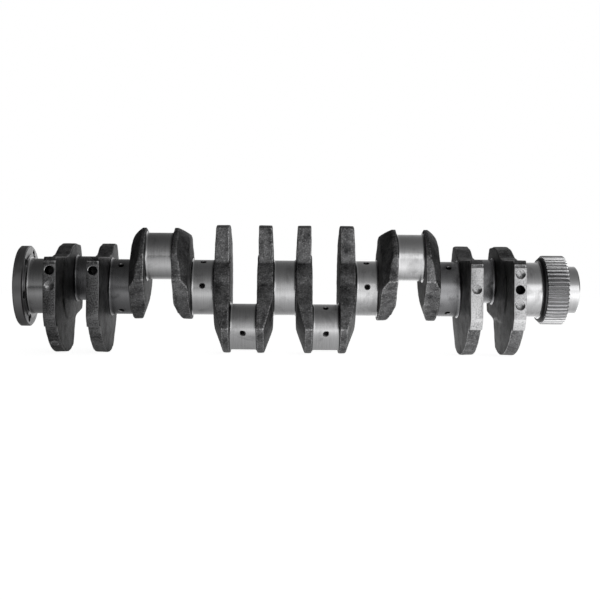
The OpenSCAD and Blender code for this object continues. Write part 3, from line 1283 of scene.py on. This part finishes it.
@dataclass
class FrontEnd:
    """Shoulder, gear seat and nose in front of the first main journal."""

    finishes: Finishes
    bore_radius: float = 10.5
    bore_depth: float = 45.0
    chamfer: float = 2.0
    # How much smaller in radius the nose is than the gear's seat.
    nose_step: float = 3.0

    def shoulder(self) -> None:
        """The conical shoulder that the gear is pressed up to."""
        low, high = box_mm("front_shoulder")
        radius = (high.z - low.z) / 2
        half = (high.x - low.x) / 2
        bm = lathe(
            [
                (low.x, 0),
                (low.x, radius - half),
                (low.x + half, radius),
                (high.x - 0.6, radius),
                (high.x, radius - 0.6),
                (high.x, 0),
            ]
        )
        # The shoulder takes the dark bore finish, painted shadow behind the gear.
        mesh = to_mesh("shoulder", [bm], [self.finishes.drilled_shaded])
        finish_piece("front_shoulder_turned", mesh, ["front_shoulder"])

    def nose(self) -> None:
        """The nose with its threaded bore, and the gear seat behind it."""
        low, high = box_mm("front_nose")
        gear_high = box_mm("timing_gear")[1]
        seat = (high.z - low.z) / 2
        radius = seat - self.nose_step
        c = self.chamfer
        bm = lathe(
            [
                (low.x, 0),
                (low.x, seat - 1),
                (gear_high.x - 1, seat - 1),
                (gear_high.x - 1, radius),
                (high.x - c, radius),
                (high.x, radius - c),
                (high.x, self.bore_radius + 1.5),
                (high.x - 1.5, self.bore_radius),
                (high.x - self.bore_depth, self.bore_radius),
                (high.x - self.bore_depth, 0),
            ]
        )
        mesh = to_mesh("nose", [bm], [self.finishes.ground])
        finish_piece("front_nose_turned", mesh, ["front_nose"])

    def build(self) -> None:
        """Builds the shoulder and the nose."""
        self.shoulder()
        self.nose()


@dataclass
class TimingGear:
    """The pressed-on timing gear, bright on the teeth's flanks and dark on their tips and roots."""

    finishes: Finishes
    teeth: int = 50
    module: float = 2.5
    pressure: float = math.radians(20)
    chamfer: float = 0.9
    rim_chamfer: float = 1.5

    @property
    def pitch(self) -> float:
        """Radius of the pitch circle."""
        return self.module * self.teeth / 2

    @property
    def foot(self) -> float:
        """Radius at the roots of the teeth, a standard 1.25 modules below the pitch circle."""
        return self.pitch - 1.25 * self.module

    def half_tooth(self, radius: float) -> float:
        """Half the angle that an involute tooth takes up.

        Args:
            radius: Radius at which it is taken.

        Returns:
            The angle in radians.
        """
        lean = math.acos(min(1.0, self.pitch * math.cos(self.pressure) / radius))
        involute = math.tan(self.pressure) - self.pressure - math.tan(lean) + lean
        return math.pi / 2 / self.teeth + involute

    def tooth(self, start: float, end: float) -> bmesh.types.BMesh:
        """One tooth, extruded from its outline, with its edges broken.

        Args:
            start: Where it starts along the shaft.
            end: Where it ends.

        Returns:
            The tooth's shell.
        """
        pitch, foot = self.pitch, self.foot
        radii = [foot - 1, foot, pitch - self.module / 2, pitch + self.module / 2, pitch + self.module]
        bm = bmesh.new()
        left = [spoke(r, math.degrees(-self.half_tooth(r))) for r in radii]
        right = [spoke(r, math.degrees(self.half_tooth(r))) for r in reversed(radii)]
        outline = [bm.verts.new(point + AXIS * start) for point in (*left, *right)]
        face = bm.faces.new(outline)
        pulled = bmesh.ops.extrude_face_region(bm, geom=[face])["geom"]
        moved = [v for v in pulled if isinstance(v, bmesh.types.BMVert)]
        bmesh.ops.translate(bm, vec=AXIS * (end - start), verts=moved)
        bmesh.ops.recalc_face_normals(bm, faces=bm.faces)
        rim = [e for e in bm.edges if e.calc_face_angle() > math.radians(60)]
        tips = [e for e in rim if (e.verts[0].co.yz.length + e.verts[1].co.yz.length) / 2 > pitch - 2]
        bmesh.ops.bevel(
            bm, geom=tips, offset=self.chamfer / 2, segments=1, profile=0.5, affect="EDGES", material=-1
        )
        for face in bm.faces:
            if face.calc_center_median().yz.length > pitch + 0.9 * self.module:
                face.material_index = 1
        return bm

    def build(self) -> None:
        """Builds the gear's rim and repeats its tooth round it."""
        low, high = box_mm("timing_gear")
        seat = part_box("front_nose")[1].z / MM
        # The bore lies inside the nose, where it doesn't show.
        bore = seat - 2
        foot = self.foot
        c = self.rim_chamfer
        rim = lathe(
            [
                (low.x, bore),
                (low.x, foot - c),
                (low.x + c, foot),
                (high.x - c, foot),
                (high.x, foot - c),
                (high.x, seat),
                (high.x - c, bore),
                (low.x, bore),
            ]
        )
        for face in rim.faces:
            face.material_index = 1
        tooth = self.tooth(low.x + 0.2, high.x - 0.2)
        bmesh.ops.spin(
            tooth,
            geom=[*tooth.verts, *tooth.edges, *tooth.faces],
            cent=(0, 0, 0),
            axis=AXIS,
            angle=math.tau * (self.teeth - 1) / self.teeth,
            steps=self.teeth - 1,
            use_duplicate=True,
        )
        mesh = to_mesh("gear", [rim, tooth], [self.finishes.hobbed, self.finishes.tooth_tip])
        finish_piece("timing_gear_hobbed", mesh, ["timing_gear"])


def dress_hardware(frame: dict, finishes: Finishes) -> None:
    """Gives the key and the dowel, whose CAD shape is right, their finish.

    Args:
        frame: The loaded frame.
        finishes: The shaft's finishes.
    """
    for node in ("gear_key", "flange_dowel"):
        mesh = frame["nodes"][node].data
        mesh.materials.clear()
        mesh.materials.append(finishes.turned)
        LOG.info("%s: CAD shape, turned finish", node)


# --------------------------------------------------------------------------- the studio


@dataclass
class Studio:
    """Pale floor, soft light and camera round the shaft, in metres."""

    floor_height: float
    floor_size: float = 30.0
    distance: float = 2.033
    roll: float = math.radians(0.475)
    lens: float = 64.2
    shift: Point = (0.0254, -0.0202)
    room_strength: float = 1.8

    def world(self) -> None:
        """A room brightest low down and a little right of the middle, which the camera sees as white."""
        world = bpy.data.worlds.new("studio")
        bpy.context.scene.world = world
        world.use_nodes = True
        tree = world.node_tree
        tree.nodes.clear()
        toward = add_node(tree, "ShaderNodeTexCoord").outputs["Generated"]
        split = add_node(tree, "ShaderNodeSeparateXYZ", {0: toward})
        height = add_node(tree, "ShaderNodeValToRGB", {"Fac": split.outputs["Z"]})
        lower = [(0.0, "#d8d8d8"), (0.2, "#bebebe"), (0.42, "#9c9c9c")]
        set_ramp(height, lower + [(0.75, "#757575"), (1.0, "#606060")])
        turned = add_node(
            tree, "ShaderNodeMapRange", {"Value": split.outputs["X"], "From Min": -1.0, "From Max": 1.0}
        )
        side = add_node(tree, "ShaderNodeValToRGB", {"Fac": turned.outputs[0]})
        from_left = [(0.0, "#1c1c1c"), (0.36, "#606060"), (0.5, "#c3c3c3")]
        from_right = [(0.64, "#ffffff"), (0.78, "#909090"), (1.0, "#2c2c2c")]
        set_ramp(side, from_left + from_right)
        strength = add_node(
            tree, "ShaderNodeMath", {0: side.outputs["Color"], 1: self.room_strength}, operation="MULTIPLY"
        )
        room = add_node(tree, "ShaderNodeBackground", {0: height.outputs["Color"], 1: strength.outputs[0]})
        white = add_node(tree, "ShaderNodeBackground", {0: linear("#ffffff"), 1: 1.0})
        seen = add_node(tree, "ShaderNodeLightPath").outputs["Is Camera Ray"]
        mixed = add_node(tree, "ShaderNodeMixShader", {0: seen, 1: room.outputs[0], 2: white.outputs[0]})
        add_node(tree, "ShaderNodeOutputWorld", {0: mixed.outputs[0]})

    def floor(self) -> None:
        """A pale floor that throws soft light up at the shaft, strongest beside it and by the gear."""
        bm = bmesh.new()
        bmesh.ops.create_grid(bm, x_segments=1, y_segments=1, size=self.floor_size / 2)
        bmesh.ops.translate(bm, vec=(0, 0, self.floor_height), verts=bm.verts)
        material = bpy.data.materials.new("painted_board_matt")
        material.use_nodes = True
        tree = material.node_tree
        tree.nodes.clear()
        place = add_node(tree, "ShaderNodeTexCoord").outputs["Object"]
        split = add_node(tree, "ShaderNodeSeparateXYZ", {0: place})
        across = add_node(tree, "ShaderNodeMath", {0: split.outputs["Y"]}, operation="ABSOLUTE")
        glow = add_node(tree, "ShaderNodeValToRGB", {"Fac": across.outputs[0]})
        beside = [(0.0, "#9a9a9a"), (0.08, "#b8b8b8"), (0.22, "#ffffff")]
        set_ramp(glow, beside + [(0.45, "#ebebeb"), (1.0, "#d4d4d4")])
        side = add_node(
            tree,
            "ShaderNodeMapRange",
            {
                "Value": split.outputs["X"],
                "From Min": -0.7,
                "From Max": 0.7,
                "To Min": 0.05,
                "To Max": 1.95,
            },
        )
        bounce = add_node(tree, "ShaderNodeEmission", {0: glow.outputs["Color"], 1: side.outputs[0]})
        # The camera sees plain pale paint, and only the shaft sees the graded light.
        paint = add_node(tree, "ShaderNodeBsdfDiffuse", {0: linear("#e6e6e6")})
        lift = add_node(tree, "ShaderNodeEmission", {0: linear("#f6f6f6"), 1: 1.0})
        pale = add_node(tree, "ShaderNodeAddShader", {0: paint.outputs[0], 1: lift.outputs[0]})
        seen = add_node(tree, "ShaderNodeLightPath").outputs["Is Camera Ray"]
        mixed = add_node(tree, "ShaderNodeMixShader", {0: seen, 1: bounce.outputs[0], 2: pale.outputs[0]})
        add_node(tree, "ShaderNodeOutputMaterial", {0: mixed.outputs[0]})
        mesh = to_mesh("floor", [bm], [material])
        link("floor", mesh)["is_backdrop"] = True

    def softbox(self, name: str, place: Vector, size: Point, watts: float) -> None:
        """Adds a rectangular lamp that faces the shaft and that the camera doesn't see.

        Args:
            name: Lamp name.
            place: Middle of the lamp.
            size: Width and height.
            watts: Power.
        """
        lamp = bpy.data.lights.new(name, "AREA")
        lamp.shape = "RECTANGLE"
        lamp.size, lamp.size_y = size
        lamp.energy = watts
        obj = bpy.data.objects.new(name, lamp)
        obj.location = place
        obj.rotation_euler = (-place).to_track_quat("-Z", "Y").to_euler()
        obj.visible_camera = False
        bpy.context.scene.collection.objects.link(obj)

    def camera(self) -> None:
        """A camera square to the shaft at its axis height."""
        lens = bpy.data.cameras.new("camera")
        lens.lens = self.lens
        lens.shift_x, lens.shift_y = self.shift
        obj = bpy.data.objects.new("camera", lens)
        bpy.context.scene.collection.objects.link(obj)
        back = Matrix.Translation((0, -self.distance, 0))
        obj.matrix_world = back @ Matrix.Rotation(math.pi / 2, 4, "X") @ Matrix.Rotation(self.roll, 4, "Z")
        bpy.context.scene.camera = obj

    def build(self) -> None:
        """Sets up the studio."""
        bpy.context.scene.view_settings.view_transform = "Standard"
        self.world()
        self.floor()
        self.softbox("front_box", place=Vector((1.3, -2.4, 0.5)), size=(2.0, 1.0), watts=3.5)
        self.camera()


def main() -> None:
    """Builds the shaft's looks in order, then the studio round it."""
    logging.basicConfig(level=logging.INFO, format="%(message)s")
    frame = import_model()
    cad_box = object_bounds()
    shaft = Shaft.of_frame()
    finishes = Finishes()
    low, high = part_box("front_shoulder")
    # The webs' hubs have the radius of the front shoulder.
    hub_radius = (high.z - low.z) / 2 / MM
    GroundJournals(shaft, finishes).build()
    for number in range(1, WEB_COUNT + 1):
        ForgedWeb(number, shaft, finishes, hub_radius).build()
    RearFlange(finishes).build()
    FrontEnd(finishes).build()
    TimingGear(finishes).build()
    dress_hardware(frame, finishes)
    Studio(cad_box[0].z).build()


if __name__ == "__main__":
    main()
